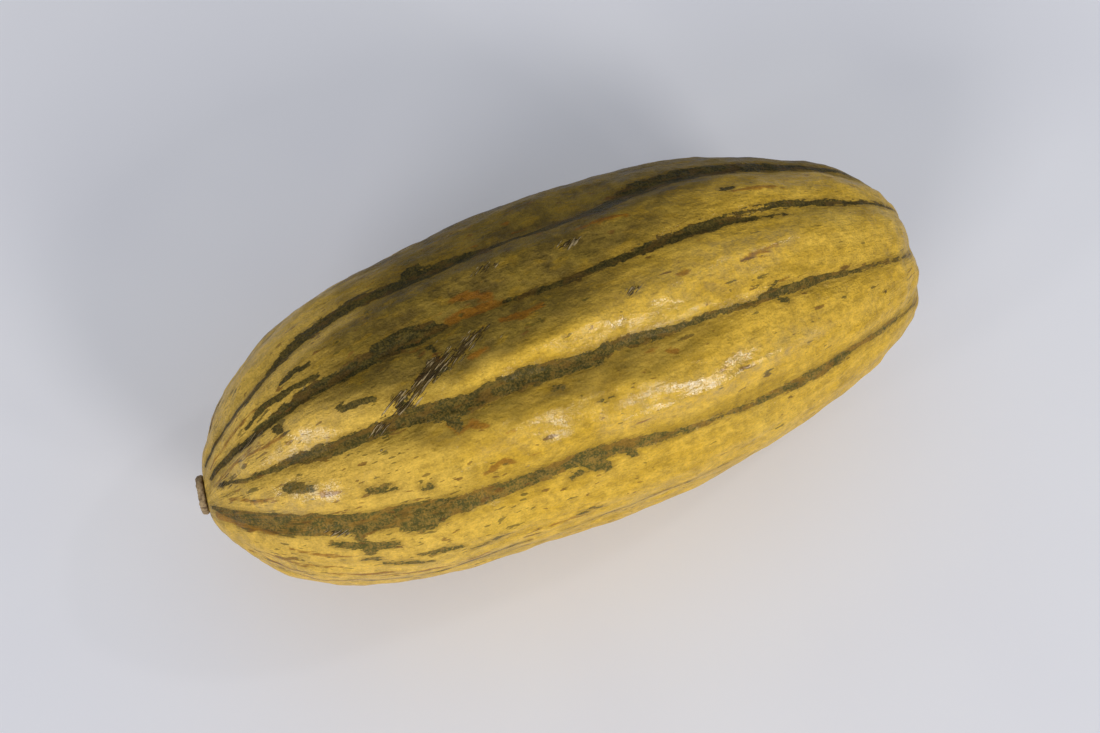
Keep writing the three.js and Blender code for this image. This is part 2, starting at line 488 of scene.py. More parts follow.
# %%
# Rows of station (mm from the stem), angle (degrees from the top) and half width (mm).
STRIPES = [
    # far flank: two thin lines, one either side of the furrow
    [(6, -58, 0.3), (22, -57, 0.7), (44, -60, 0.9), (62, -59, 0.8), (90, -61, 0.9), (130, -62, 1.6),
     (175, -62, 0.9)],
    [(24, -66, 0.3), (60, -68, 0.9), (100, -68, 0.8), (140, -69, 1.4), (180, -68, 0.6)],
    # far top
    [(5, -25, 0.4), (13, -20, 0.7), (21, -17, 1.0), (30, -22, 1.3), (38, -26, 1.9), (53, -28, 2.0),
     (65, -26, 2.1), (76, -26, 2.3), (88, -25, 1.6), (100, -23, 1.7), (112, -22, 2.0),
     (120, -23, 2.9), (131, -29, 3.6), (147, -32, 3.0), (158, -34, 2.2), (168, -35, 1.7),
     (182, -36, 1.2), (196, -42, 0.6)],
    # top, as far as its break
    [(5, -3, 0.5), (11, 0, 0.9), (18, 2, 1.1), (26, 1, 1.5), (35, 0, 1.8), (44, 0, 1.8),
     (53, -1, 2.3), (60, -2, 3.0), (68, -1, 2.3), (71, 0, 1.0)],
    # top, beyond the break, and its fork
    [(86, -1, 0.8), (92, 0, 1.3), (104, 1, 1.4), (114, 0, 1.5), (125, -1, 1.8), (134, -2, 2.2),
     (144, -3, 2.1), (150, -3, 1.3), (156, -2, 1.1), (163, -1, 0.5)],
    [(140, -4, 1.4), (148, -5, 0.9), (156, -6, 0.9), (164, -6, 1.4), (176, -5, 1.1), (185, -4, 1.2),
     (197, -7, 0.6)],
    # near top
    [(7, 13, 0.4), (13, 20, 0.5), (22, 22, 0.8), (27, 22, 1.4), (34, 24, 1.9), (42, 24, 2.1),
     (50, 24, 1.9), (57, 24, 2.4), (63, 26, 2.7), (70, 27, 2.3), (78, 26, 2.4), (86, 26, 2.7),
     (93, 27, 2.5), (101, 28, 2.4), (108, 26, 1.8), (114, 27, 2.2), (122, 28, 1.5), (134, 28, 1.2),
     (143, 29, 1.2), (150, 28, 1.7), (162, 29, 1.7), (170, 30, 1.1), (182, 32, 0.9),
     (196, 36, 0.5)],
    # near flank
    [(3, 32, 0.4), (7, 42, 1.4), (12, 47, 2.4), (17, 50, 3.3), (24, 52, 3.4), (31, 54, 3.1),
     (38, 56, 2.9), (46, 57, 2.8), (53, 58, 2.5), (62, 60, 2.2), (74, 60, 1.9), (82, 60, 1.7),
     (90, 59, 1.9), (96, 60, 2.4), (103, 60, 1.7), (110, 62, 1.9), (118, 63, 1.2), (130, 64, 0.9),
     (142, 66, 1.2), (150, 66, 1.8), (162, 66, 1.7), (172, 66, 1.3), (184, 68, 1.0),
     (196, 76, 0.6)],
    # near low: broken
    [(3, 101, 0.6), (22, 99, 1.2), (38, 99, 1.3), (56, 100, 0.9), (74, 101, 0.5)],
    [(46, 95, 0.4), (60, 94, 0.9), (74, 92, 0.5)],
    [(84, 92, 0.3), (98, 93, 1.0), (112, 90, 0.8), (130, 89, 0.5)],
    [(140, 100, 0.4), (160, 101, 1.5), (186, 102, 0.7)],
    # the side away from view
    [(5, 143, 0.5), (30, 142, 1.8), (66, 141, 2.4), (98, 144, 1.4)],
    [(108, 143, 0.8), (140, 142, 2.2), (184, 142, 0.9)],
    [(8, 181, 0.5), (36, 180, 1.0), (80, 182, 1.3), (120, 181, 0.8), (180, 180, 0.7)],
    [(4, 220, 0.5), (26, 221, 2.0), (52, 219, 2.9), (90, 222, 2.0), (128, 220, 2.6),
     (170, 219, 1.6), (194, 221, 0.6)],
    [(5, 262, 0.5), (24, 260, 1.3), (58, 262, 2.2), (72, 261, 0.6)],
    [(84, 262, 0.6), (106, 260, 2.2), (150, 261, 2.8), (190, 260, 0.8)],
]
print("stripes", len(STRIPES))

# %% [markdown]
# ## Arms, blotches and dashes
# The same green also shows beside the stripes, as short arms, blotches and dashes. They are lines
# of the same kind, only shorter, and are set wherever a delicata tends to have them: where a
# stripe is widest, and between the stripes of the stem half.

# %%
GREEN_MARKS = [
    [(22, 32, 0.7), (25, 33, 1.3), (28, 36, 0.8)],
    [(40, 43, 0.6), (43, 44, 0.9), (47, 45, 0.5)],
    [(53, 49, 0.8), (54.5, 49, 0.9)],
    [(35, 58, 1.3), (35, 63, 1.0), (36, 67, 1.6), (36, 70, 1.2)],
    [(28, 63, 0.7), (33, 65, 1.1), (38, 67, 1.2), (43, 68, 0.7)],
    [(34, 74, 0.5), (37, 74, 0.7)],
    [(46, 61, 1.6), (51, 62, 2.6), (56, 61, 1.4)],
    [(92, 61, 1.6), (97, 65, 1.6)],
    [(88, 65, 0.7), (91, 64, 0.9)],
    [(103, 62, 1.2), (105, 65, 0.8)],
    [(64, 28, 1.8), (65.5, 32, 1.3)],
    [(55, 21, 1.7), (56, 18, 1.0)],
    [(152, 31, 0.7), (154, 33, 0.4)],
    [(150, 26, 0.6), (152, 25, 0.4)],
    [(41, 12, 0.7), (45, 13, 0.8), (49, 14, 0.4)],
    [(18, -4, 0.3), (24, -6, 0.8), (30, -5, 0.9), (39, -4, 0.5)],
    [(25, 6, 1.0), (26, 8, 0.9)],
    [(66, 5, 0.8), (67, 9, 0.5)],
    [(30, -10, 0.5), (34, -11, 1.0), (38, -10, 0.4)],
    [(62, 14, 0.9), (68, 14, 0.7)],
    [(68, -30, 1.6), (71, -30, 1.2)],
    [(90, 32, 0.5), (92, 33, 0.6)],
    [(100, 42, 0.4), (103, 41, 0.6)],
    [(38, 78, 0.4), (44, 80, 0.7), (50, 82, 0.4)],
    [(47, 76, 0.4), (53, 77, 0.9), (58, 78, 0.3)],
    [(60, 82, 0.3), (66, 80, 0.6), (70, 79, 0.3)],
    [(88, 83, 0.4), (92, 82, 0.6), (95, 84, 0.3)],
    [(150, -17, 0.6), (153, -17, 0.5)],
    [(160, -50, 1.1), (168, -50, 0.8)],
]
print("green marks", len(GREEN_MARKS))

# %% [markdown]
# ## Brown and orange marks
# Where a stripe never greened, or the rind was rubbed, it turned an orange brown. The marks are
# spots beside the stripes and thin streaks that run to the stem.

# %%
OCHRE_MARKS = [
    [(70, 0, 0.7), (75, -2, 1.4), (80, -1, 1.5), (87, -1, 0.9)],
    [(74, -7, 0.5), (79, -7, 1.1), (84, -4, 1.0)],
    [(68, 52, 0.7), (73, 50, 1.0), (76, 51, 0.5)],
    [(64, 31, 1.3), (66, 34, 1.0)],
    [(69, 34, 1.4), (72, 36, 0.7)],
    [(30, 39, 0.9), (34, 40, 0.6)],
    [(145, 14, 0.4), (150, 13, 0.9), (156, 12, 0.4)],
    [(16, 10, 0.5), (22, 11, 0.7), (27, 10, 0.4)],
    [(66, 8, 0.7), (67, 11, 0.7)],
    [(84, 6, 0.6), (90, 7, 1.1), (95, 6, 0.5)],
    [(74, 14, 0.9), (79, 13, 0.6)],
    [(152, -15, 0.4), (158, -15, 0.9), (166, -14, 0.4)],
    [(110, -15, 0.4), (118, -15, 0.7), (124, -14, 0.3)],
    [(4, 44, 1.2), (9, 50, 1.9), (16, 55, 1.2)],
    [(8, 84, 0.3), (14, 86, 0.6), (20, 87, 0.3)],
    [(10, 92, 0.3), (20, 93, 0.7), (32, 92, 0.3)],
    [(24, 84, 0.3), (34, 86, 0.7), (44, 87, 0.3)],
    [(36, 90, 0.3), (50, 90, 0.7), (66, 89, 0.3)],
    [(22, 95, 0.3), (34, 97, 0.6), (48, 97, 0.3)],
    [(76, 84, 0.3), (84, 84, 0.6), (92, 85, 0.3)],
    [(6, -10, 0.3), (14, -9, 0.6), (22, -8, 0.3)],
    [(5, 8, 0.3), (12, 8, 0.6), (20, 7, 0.3)],
    [(8, 28, 0.3), (14, 34, 0.6), (20, 36, 0.3)],
    [(18, 66, 0.4), (26, 70, 0.7), (33, 71, 0.3)],
    [(12, 75, 0.3), (20, 78, 0.5), (28, 79, 0.3)],
    [(128, 12, 0.5), (131, 12, 0.8)],
    [(120, 34, 0.6), (122, 35, 0.7)],
]
print("ochre marks", len(OCHRE_MARKS))

# %% [markdown]
# ## Scratches and polished places
# Where the young fruit was scraped it healed as grey-brown cork, in slanting bundles of fine lines.
# Elsewhere handling has polished the wax: on the crests of the near ribs and in spots near the
# stem. Polished places aren't seen as a colour, so they are soft patches that only the wax reads.

# %%
SCARS = [
    [(50, 21, 0.4), (54, 17, 1.5), (57, 16, 0.6)],
    [(51, 22, 0.5), (57, 19, 1.5), (61, 15, 2.3), (65, 12, 2.2), (68, 11, 1.6), (71, 9, 0.5)],
    [(64, 16, 0.4), (72, 11, 1.7), (77, 8, 1.5), (82, 6, 0.4)],
    [(46, 25, 0.6), (48.5, 24, 1.6), (51, 23, 0.5)],
    [(6, 12, 0.5), (8, 15, 0.9), (11, 21, 0.4)],
    [(15, 2, 0.9), (18, 2, 1.5), (21, 3, 0.8)],
    [(103, -11, 0.4), (107, -11, 1.2), (111, -11, 0.4)],
    [(114, 13, 0.6), (116, 13, 1.4), (119, 12, 0.5)],
    [(28, 57, 0.5), (31, 58, 1.1), (34, 61, 0.4)],
    [(82, -12, 0.4), (85, -13, 1.1), (88, -13, 0.4)],
]
POLISHED = [
    [(106, 18, 1.5), (120, 16, 5.0), (142, 13, 5.0), (160, 10, 1.5)],
    [(100, 50, 1.5), (116, 50, 4.0), (140, 48, 4.0), (160, 46, 1.5)],
    [(14, 12, 1.0), (30, 12, 2.5), (44, 14, 1.0)],
    [(16, 36, 1.0), (24, 38, 3.0), (32, 40, 1.0)],
    [(70, 44, 1.0), (80, 45, 2.5), (88, 44, 1.0)],
]
print("scratches", len(SCARS), "polished places", len(POLISHED))

# %% [markdown]
# ## Storing the marks on the skin
# The depths go onto the points of the mesh as named attributes, which the finish reads later. The
# stripes are a little bolder at the stem and slimmer over the blossom half. Near the stem the skin
# is paler, so each point also knows how near the stem it is.

# %%
stripe_depth = inside_any(STRIPES)
green_depth = inside_any(GREEN_MARKS) + 0.15
ochre_depth = inside_any(OCHRE_MARKS)
scar_depth = inside_any(SCARS)
BOLD_UNTIL, SLIM_FROM, SLIM_FADE = 22, 78, 20  # mm from the stem
PALE_UNTIL, PALE_FADE = 30, 110
bolder = 0.12 * (station < BOLD_UNTIL)
slimmer = 0.3 * np.clip((station - SLIM_FROM) / SLIM_FADE, 0, 1)
give(grown, "stripe", np.maximum(stripe_depth + bolder - slimmer, green_depth))
give(grown, "mark", (green_depth > stripe_depth).astype(float))
give(grown, "polished", smooth_step(inside_any(POLISHED), -4, 1))
give(grown, "near_stem", 1 - np.clip((station - PALE_UNTIL) / PALE_FADE, 0, 1))
print("striped points", int((stripe_depth > 0).sum()), "marked", int((green_depth > 0).sum()))

# %% [markdown]
# ## The grain of a scratch
# The fine lines of a scratch run along it and not along the fruit. They need a grain of their own:
# the skin is laid out flat, turned by the slant of the scratches, and stretched along them.

# %%
SCRATCH_SLANT = math.radians(30)
GIRTH_RADIUS_MM = 43
SCRATCH_LINE = 5.0  # mm, the length of one fine line
SCRATCH_WIDTH = 0.5  # mm
girth_way = GIRTH_RADIUS_MM * np.radians(turn_deg)
along_scratch = station * math.cos(SCRATCH_SLANT) - girth_way * math.sin(SCRATCH_SLANT)
across_scratch = station * math.sin(SCRATCH_SLANT) + girth_way * math.cos(SCRATCH_SLANT)
scratch_grain = [along_scratch / SCRATCH_LINE, across_scratch / SCRATCH_WIDTH, 0 * station]
give(grown, "scratch", np.stack(scratch_grain, 1))
print("scratch grain spans", round(float(np.ptp(scratch_grain[1]))), "lines")

# %% [markdown]
# ## Flecks, pits, blossom scar and field spot
# All over the rind, and most of all near the stem, are short lengthwise flecks, rusty streaks and
# a few round pits. They are strewn from a fixed seed. Two more marks come from how it grew: a small
# round of cork at the blossom end, where the flower dropped off, and a pale field spot underneath,
# which never saw the sun.

# %%
rng = np.random.default_rng(23)


def strewn(count, longest, thickest, lean_to_stem):
    """Short tapering lines all round the fruit: most length and half width in mm."""
    lines = []
    for _ in range(count):
        start = 8 + 180 * rng.random() ** lean_to_stem
        angle = rng.uniform(-180, 180)
        length = rng.uniform(0.3, 1) * longest
        half = rng.uniform(0.35, 1) * thickest
        middle, end = start + length / 2, start + length
        lines.append([(start, angle, half * 0.5), (middle, angle, half), (end, angle, half * 0.3)])
    return lines


fleck_depth = inside_any(strewn(230, 5.0, 0.75, 1.5))
rust_depth = inside_any(strewn(150, 6.0, 0.8, 1.2))
BLOSSOM_PITS = [
    [(181, 46, 0.5), (181.6, 46, 0.5)],
    [(182, 54, 0.4), (182.5, 54, 0.4)],
    [(179, 57, 0.4), (179.5, 57, 0.4)],
]
pit_depth = inside_any(strewn(90, 0.6, 0.5, 1.0) + BLOSSOM_PITS)
give(grown, "fleck", fleck_depth)
give(grown, "ochre", np.maximum(ochre_depth, rust_depth - 0.25))
blossom_scar = 3.6 - np.abs(tip_away - 0.6)
give(grown, "scar", np.maximum.reduce([scar_depth, pit_depth - 0.05, blossom_scar]))
FIELD_SPOT_FULL, FIELD_SPOT_GONE = 0.5, 9.0  # mm above the table
give(grown, "field_spot", 1 - smooth_step(points[:, 2] / MM, FIELD_SPOT_FULL, FIELD_SPOT_GONE))
print("flecked points", int((fleck_depth > 0).sum()), "pitted", int((pit_depth > 0).sum()))

# %% [markdown]
# ## Bronzing and painted shade
# The rind is not one yellow. Its upper side is a dull olive, partly real bronzing and partly painted
# shade for the dark that light from low in front leaves on top. It is strongest on the ribs beside the
# top furrow and on the upper half of the next ribs down, their upper flanks, and fades at both ends.
# Each rib gets a strength, how far across it the olive reaches, and how far along. Sunlight doesn't
# stop at a line, so the ends of the olive wander to and fro round the girth.

# %%
# For the rib below each furrow, the bronzing and painted shade: strength, reach at the stem half and
# at the blossom half, as parts of its width, and the stations where it starts, is full, begins to fade
# and is gone.
BRONZE_AND_SHADE_RIBS = {
    "far_flank": (1.00, 1.20, 1.20, 10, 76, 150, 225),
    "far_top": (1.00, 1.30, 1.00, 28, 62, 105, 195),
    "top": (0.95, 0.84, 0.46, 34, 64, 96, 180),
    "near_top": (0.62, 0.50, 0.44, 20, 66, 118, 165),
    "near_flank": (0.16, 0.45, 0.30, 20, 60, 110, 170),
    "near_low": (0.10, 0.30, 0.30, 20, 60, 120, 180),
    "under_near": (0.10, 0.30, 0.30, 20, 60, 120, 180),
    "under": (0.15, 0.40, 0.40, 20, 60, 120, 180),
    "under_far": (0.45, 0.80, 0.70, 20, 80, 130, 200),
    "far_low": (0.62, 1.10, 0.80, 10, 90, 120, 220),
}
ACROSS_FADE = 0.28  # of a rib's width, to either side

ribs_bronze_and_shade = np.array([BRONZE_AND_SHADE_RIBS[name] for name in FURROWS])[rib_number]
strength, reach_stem, reach_blossom, fade_in, full_from, full_to, fade_out = ribs_bronze_and_shade.T
reach_wander = 8 * np.sin(5 * turn) + 5 * np.sin(13 * turn + 1)
blossom_half = smooth_step(station + reach_wander, 45, 130)
reach = reach_stem + (reach_blossom - reach_stem) * blossom_half
across = 1 - smooth_step(rib_place, reach - ACROSS_FADE, reach + ACROSS_FADE)
wander = 9 * np.sin(3 * turn + 1.0) + 6 * np.sin(8 * turn + 2.0) + 4 * np.sin(19 * turn)
lengthwise = smooth_step(station + wander, fade_in - 6, full_from + 8)
lengthwise *= 1 - smooth_step(station + wander, full_to, fade_out)
# Partly bronzing, partly painted shade: this strength darkens the upper side and the upper rib flanks.
bronze_and_shade_depth = strength * across * lengthwise
give(grown, "bronze_and_shade", bronze_and_shade_depth)
print("mean bronzing", round(float(bronze_and_shade_depth.mean()), 3))

# %% [markdown]
# ## Painted shade on the green
# On the upper side the stripes are painted a dark olive, as painted shade, and lower down they are a
# lighter, lit green. The last attributes say how much painted shade a point takes, how deep it lies
# in a furrow, and how loose the edges of a stripe are: tight at the stem, where the stripes are thin,
# and frayed further on.

# %%
give(grown, "furrow", 1 - rib)
# Painted shade for the stripes: 1 near the top, fading to 0 down the sides.
give(grown, "upper_shade", 1 - smooth_step(np.abs(turn_deg + 20), 25, 75))
give(grown, "loose", np.clip(station / 30, 0.25, 1))
print("attributes", len(grown.attributes))

# %% [markdown]
# ## Short words for a finish
# A finish is a network of nodes, and a few steps come again and again: read a stored value, make a
# noise, turn one range of values into another, fray a value with a noise, and lay one colour over
# another. Each gets a short function here, so that the cells below read like coats of paint.


# %%
def shade(material):
    material.use_nodes = True
    material.node_tree.nodes.clear()
    return Tree(material.node_tree)


def attribute(t, name, vector=False):
    node = t.node("ShaderNodeAttribute", attribute_name=name, attribute_type="GEOMETRY")
    return node.outputs["Vector" if vector else "Fac"]


def noise(t, where, scale, detail=3.0, roughness=0.55):
    given = {"Vector": where, "Scale": scale, "Detail": detail, "Roughness": roughness}
    return t.node("ShaderNodeTexNoise", given).outputs[0]


def ramp(t, value, low, high, to_low=0.0, to_high=1.0):
    """Value taken smoothly from to_low at low to to_high at high."""
    given = {"Value": value, "From Min": low, "From Max": high, "To Min": to_low, "To Max": to_high}
    return t.node("ShaderNodeMapRange", given, interpolation_type="SMOOTHSTEP").outputs[0]


def frayed(t, value, pattern, amount):
    """Value raised or lowered by a noise, by up to half the amount."""
    return t.plus(value, t.times(t.minus(pattern, 0.5), amount))


def over(t, factor, below, above):
    """Colour above laid over colour below where factor is 1."""
    return t.node("ShaderNodeMix", {0: factor, 6: below, 7: above}, data_type="RGBA").outputs[2]


def rgb(red, green, blue):
    """A display colour, 0 to 255, as the linear colour that nodes take."""
    parts = [c / 255 for c in (red, green, blue)]
    return tuple([c / 12.92 if c <= 0.04045 else ((c + 0.055) / 1.055) ** 2.4 for c in parts] + [1.0])


print("middle grey is", round(rgb(128, 128, 128)[0], 3), "to the nodes")

# %% [markdown]
# ## Noises for the rind
# Two noises read the grain and run along the fruit as streaks. The others read the plain position:
# clouds a few centimetres across, mottling of a few millimetres, and grit under a millimetre. All
# the coats below share them, so that a dark streak and a ragged edge fall in the same place.

# %%
t = shade(rind)
grain = attribute(t, "grain", vector=True)
spot = t.node("ShaderNodeTexCoord").outputs["Object"]
streak = noise(t, grain, 0.55, 4.0)
fine_streak = noise(t, grain, 1.9, 4.0, 0.6)
cloud = noise(t, spot, 38.0, 2.0)
mottle = noise(t, spot, 150.0, 5.0, 0.65)
small_mottle = noise(t, spot, 420.0, 4.0, 0.65)
grit = noise(t, spot, 1900.0, 2.0, 0.6)
print("noises", sum(node.type == "TEX_NOISE" for node in rind.node_tree.nodes))

# %% [markdown]
# ## The golden ground
# The first coats are the yellow of the rind: golden, with amber streaks, pale clouds and fine darker
# streaks. It is pale on the field spot and near the stem, and a greener gold down in the furrows.

# %%
GOLDEN, AMBER = rgb(212, 171, 58), rgb(196, 156, 42)
PALE_CLOUD, DARK_STREAK = rgb(214, 180, 80), rgb(176, 138, 38)
FIELD_SPOT, STEM_PALE, FURROW_GOLD = rgb(224, 200, 132), rgb(216, 178, 84), rgb(148, 120, 32)

colour = over(t, ramp(t, streak, 0.38, 0.66), GOLDEN, AMBER)
colour = over(t, ramp(t, cloud, 0.45, 0.72, 0.0, 0.35), colour, PALE_CLOUD)
colour = over(t, ramp(t, fine_streak, 0.50, 0.72, 0.0, 0.5), colour, DARK_STREAK)
field_spot = t.times(attribute(t, "field_spot"), ramp(t, mottle, 0.3, 0.6, 0.45, 0.8))
colour = over(t, field_spot, colour, FIELD_SPOT)
near_stem = attribute(t, "near_stem")
colour = over(t, ramp(t, near_stem, 0.6, 1.0, 0.0, 0.55), colour, STEM_PALE)
furrow_edge = frayed(t, attribute(t, "furrow"), streak, 0.9)
colour = over(t, ramp(t, furrow_edge, 0.35, 1.05, 0.0, 0.4), colour, FURROW_GOLD)
print("ground", len(rind.node_tree.nodes), "nodes")

# %% [markdown]
# ## Bronzed and shaded skin, and orange brown marks
# The dull olive of bronzing and painted shade is laid over the gold where its stored strength, frayed
# by streaks and mottling, is high enough. It is patchy itself, with dark and light olive and a few
# streaks where the gold still shows. The orange brown marks lie over it.

# %%
# Olives of the bronzing, which also serve as painted shade on the upper side.
BRONZE_SHADE_DARK, BRONZE_SHADE_LIGHT = rgb(88, 71, 26), rgb(122, 100, 38)
BRONZE_SHADE_STREAK, GOLD_STREAK, ORANGE_BROWN = rgb(124, 102, 32), rgb(156, 122, 24), rgb(134, 84, 7)

bronze_and_shade = attribute(t, "bronze_and_shade")
patchy = frayed(t, t.times(bronze_and_shade, 1.3), streak, 0.8)
patchy = frayed(t, frayed(t, patchy, mottle, 0.8), small_mottle, 0.6)
bronze_and_shade_on = ramp(t, patchy, 0.25, 1.1, 0.0, 0.97)
dull = over(t, ramp(t, mottle, 0.36, 0.62), BRONZE_SHADE_DARK, BRONZE_SHADE_LIGHT)
dull = over(t, ramp(t, noise(t, grain, 0.34, 2.0), 0.42, 0.62, 0.0, 0.5), dull, BRONZE_SHADE_STREAK)
# Bronzing and painted shade laid over the gold.
colour = over(t, bronze_and_shade_on, colour, dull)
gold_streak = ramp(t, noise(t, grain, 0.8, 4.0), 0.54, 0.64)
gold_streak = t.times(gold_streak, ramp(t, bronze_and_shade, 0.2, 0.5))
colour = over(t, t.times(gold_streak, 0.4), colour, GOLD_STREAK)
ochre_edge = frayed(t, attribute(t, "ochre"), fine_streak, 2.4)
colour = over(t, ramp(t, ochre_edge, -0.3, 0.4, 0.0, 0.75), colour, ORANGE_BROWN)
print("bronzed", len(rind.node_tree.nodes), "nodes")

# %% [markdown]
# ## The green of the stripes
# A stripe is on where its stored depth, frayed by a fine streak and a mottle, passes zero. Its green
# is speckled with lighter corky dots and browned in places along its length. Green, dots and brown
# each have a lit copy and a darker copy, which is painted shade for the upper side. A faint brown
# halo softens the step from green to yellow.

# %%
# Lit and shaded copies of the stripe colours; the darker ones are painted shade.
LIT_GREEN, LIT_DOTS = rgb(78, 76, 32), rgb(126, 100, 42)
SHADED_GREEN, SHADED_DOTS = rgb(44, 42, 12), rgb(78, 66, 24)
LIT_BROWN, SHADED_BROWN, HALO = rgb(136, 100, 34), rgb(88, 64, 20), rgb(120, 92, 24)

fray = frayed(t, frayed(t, 0.0, fine_streak, 3.0), small_mottle, 1.8)
stripe_edge = t.plus(attribute(t, "stripe"), t.times(fray, attribute(t, "loose")))
stripe_on = ramp(t, stripe_edge, -0.12, 0.16)
dots = t.plus(t.times(grit, 0.6), t.times(small_mottle, 0.4))
dots = ramp(t, dots, 0.44, 0.58)
upper_shade = attribute(t, "upper_shade")
# The upper side takes the darker copies, as painted shade.
green = over(t, upper_shade, over(t, dots, LIT_GREEN, LIT_DOTS), over(t, dots, SHADED_GREEN, SHADED_DOTS))
brown = over(t, upper_shade, LIT_BROWN, SHADED_BROWN)
browned = ramp(t, noise(t, grain, 0.9, 3.0), 0.48, 0.62, 0.0, 0.75)
browned = t.times(browned, t.minus(1.0, attribute(t, "mark")))
colour = over(t, t.times(stripe_on, 0.94), colour, over(t, browned, green, brown))
halo = t.times(ramp(t, stripe_edge, -1.4, -0.1), t.minus(1.0, stripe_on))
colour = over(t, t.times(halo, 0.35), colour, HALO)
print("striped", len(rind.node_tree.nodes), "nodes")

# %% [markdown]
# ## Flecks and cork
# The strewn flecks are joined by still smaller ones, which are simply the peaks of a streaky noise.
# The cork of scratches and pits is dark, with pale raised fibres. Last of all the whole colour is
# made a little uneven, since no two square millimetres of a real rind are quite alike.

# %%
OLIVE_FLECK, RUSTY_FLECK = rgb(74, 68, 22), rgb(108, 72, 22)
CORK_DARK, CORK_FIBRE = rgb(60, 46, 23), rgb(182, 160, 118)

crowding = ramp(t, noise(t, spot, 55.0, 2.0), 0.35, 0.65, -0.05, 0.05)
crowding = t.plus(crowding, ramp(t, near_stem, 0.0, 1.0, -0.06, 0.0))
small_fleck = ramp(t, t.plus(noise(t, grain, 1.6, 1.0), crowding), 0.67, 0.71, 0.0, 0.65)
fleck_edge = frayed(t, attribute(t, "fleck"), fine_streak, 1.6)
flecks = t.math("MAXIMUM", ramp(t, fleck_edge, -0.05, 0.12, 0.0, 0.75), small_fleck)
fleck_colour = over(t, ramp(t, noise(t, spot, 120.0, 1.0), 0.45, 0.55), OLIVE_FLECK, RUSTY_FLECK)
colour = over(t, flecks, colour, fleck_colour)

scratch = noise(t, attribute(t, "scratch", vector=True), 1.0, 2.0)
scar_edge = frayed(t, frayed(t, attribute(t, "scar"), scratch, 6.0), small_mottle, 3.0)
scar_on = ramp(t, scar_edge, 0.4, 0.8)
cork = over(t, ramp(t, scratch, 0.55, 0.66), CORK_DARK, CORK_FIBRE)
colour = over(t, t.times(scar_on, 0.85), colour, cork)

uneven = t.plus(ramp(t, mottle, 0.3, 0.7, -0.10, 0.10), ramp(t, small_mottle, 0.3, 0.7, 0.82, 1.16))
uneven = t.plus(uneven, ramp(t, grit, 0.3, 0.7, -0.09, 0.09))
uneven = t.plus(uneven, ramp(t, noise(t, grain, 5.0, 2.0), 0.3, 0.7, -0.08, 0.08))
both = {0: 1.0, 6: colour, 7: uneven}
colour = t.node("ShaderNodeMix", both, data_type="RGBA", blend_type="MULTIPLY").outputs[2]
print("flecked", len(rind.node_tree.nodes), "nodes")

# %% [markdown]
# ## Wax and bumps
# The rind is a fairly rough skin under a thin clear coat of wax. The wax is thin almost everywhere,
# dull on stripes and on the olive of bronzing and painted shade, and glossy in the polished places,
# where small gaps in it break the highlight into sparkles. The bumps are the same noises again, so
# that colour and relief go together. The coat gets gentler bumps than the skin, as wax fills the
# smallest hollows.

# %%
rough = t.plus(ramp(t, mottle, 0.35, 0.7, 0.40, 0.56), t.times(scar_on, 0.3))
polished = attribute(t, "polished")
# The wax is dull on the olive of bronzing and painted shade as well.
bronze_and_shade_dull = t.minus(0.85, t.times(polished, 0.6))
bronze_and_shade_dull = t.times(bronze_and_shade_on, bronze_and_shade_dull)
dullness = t.math("MAXIMUM", t.times(stripe_on, 0.75), bronze_and_shade_dull)
gaps = ramp(t, small_mottle, 0.40, 0.60, 1.0, 0.3)
wax = t.plus(0.18, t.times(polished, gaps))
wax = t.times(t.minus(1.0, dullness), wax)

height = t.plus(t.times(mottle, 1.3), t.times(fine_streak, 0.5))
height = t.plus(height, t.times(small_mottle, 0.9))
height = t.plus(height, t.times(grit, 0.15))
height = t.plus(height, t.times(scar_on, t.times(scratch, 1.6)))


def bumps(t, height, strength, distance):
    given = {"Height": height, "Strength": strength, "Distance": distance}
    return t.node("ShaderNodeBump", given).outputs[0]


skin_finish = {
    "Base Color": colour,
    "Roughness": rough,
    "Normal": bumps(t, height, 1.0, 1.0 * MM),
    "Specular IOR Level": 0.12,
    "Coat Weight": wax,
    "Coat Roughness": ramp(t, mottle, 0.35, 0.65, 0.08, 0.17),
    "Coat Normal": bumps(t, height, 0.45, 0.4 * MM),
}
surface = t.node("ShaderNodeBsdfPrincipled", skin_finish)
t.node("ShaderNodeOutputMaterial", {"Surface": surface.outputs[0]})
print("rind nodes", len(rind.node_tree.nodes))

# %% [markdown]
# ## The finished fruit
# The marks were stored on the grown mesh, so it only needs its name and smooth faces. Its own map
# wraps it like a label round a bottle, with the seam underneath, for the exporter. The faces beside
# the seam are carried past its edge instead of back across the whole map, and each corner at a pole
# takes a place between its neighbours. A narrow margin keeps the map clear of its edges.

# %%
MAP_MARGIN = 0.01
POLE_STEP = 2 * MM
grown.name = "squash_fruit"
fruit = bpy.data.objects.new("squash_fruit", grown)
bpy.context.scene.collection.objects.link(fruit)
grown.polygons.foreach_set("use_smooth", [True] * len(grown.polygons))
wrap = grown.uv_layers.new(name="OFBake")
loop_vertex = np.zeros(len(grown.loops), int)
grown.loops.foreach_get("vertex_index", loop_vertex)
arc = np.concatenate([[0], np.cumsum(np.linalg.norm(np.diff(skin_grid[:, 0], axis=0), axis=1))])
arc_rows = np.concatenate([[0], np.repeat(arc, SPOKES) + POLE_STEP, [arc[-1] + 2 * POLE_STEP]])
v = (arc_rows / arc_rows.max())[loop_vertex] * (1 - 2 * MAP_MARGIN) + MAP_MARGIN
u = ((turn + np.pi) / (2 * np.pi) % 1.0)[loop_vertex]
starts = np.zeros(len(grown.polygons), int)
totals = np.zeros(len(grown.polygons), int)
grown.polygons.foreach_get("loop_start", starts)
grown.polygons.foreach_get("loop_total", totals)
face_of = np.repeat(np.arange(len(starts)), totals)
highest = np.full(len(starts), -1.0)
np.maximum.at(highest, face_of, u)
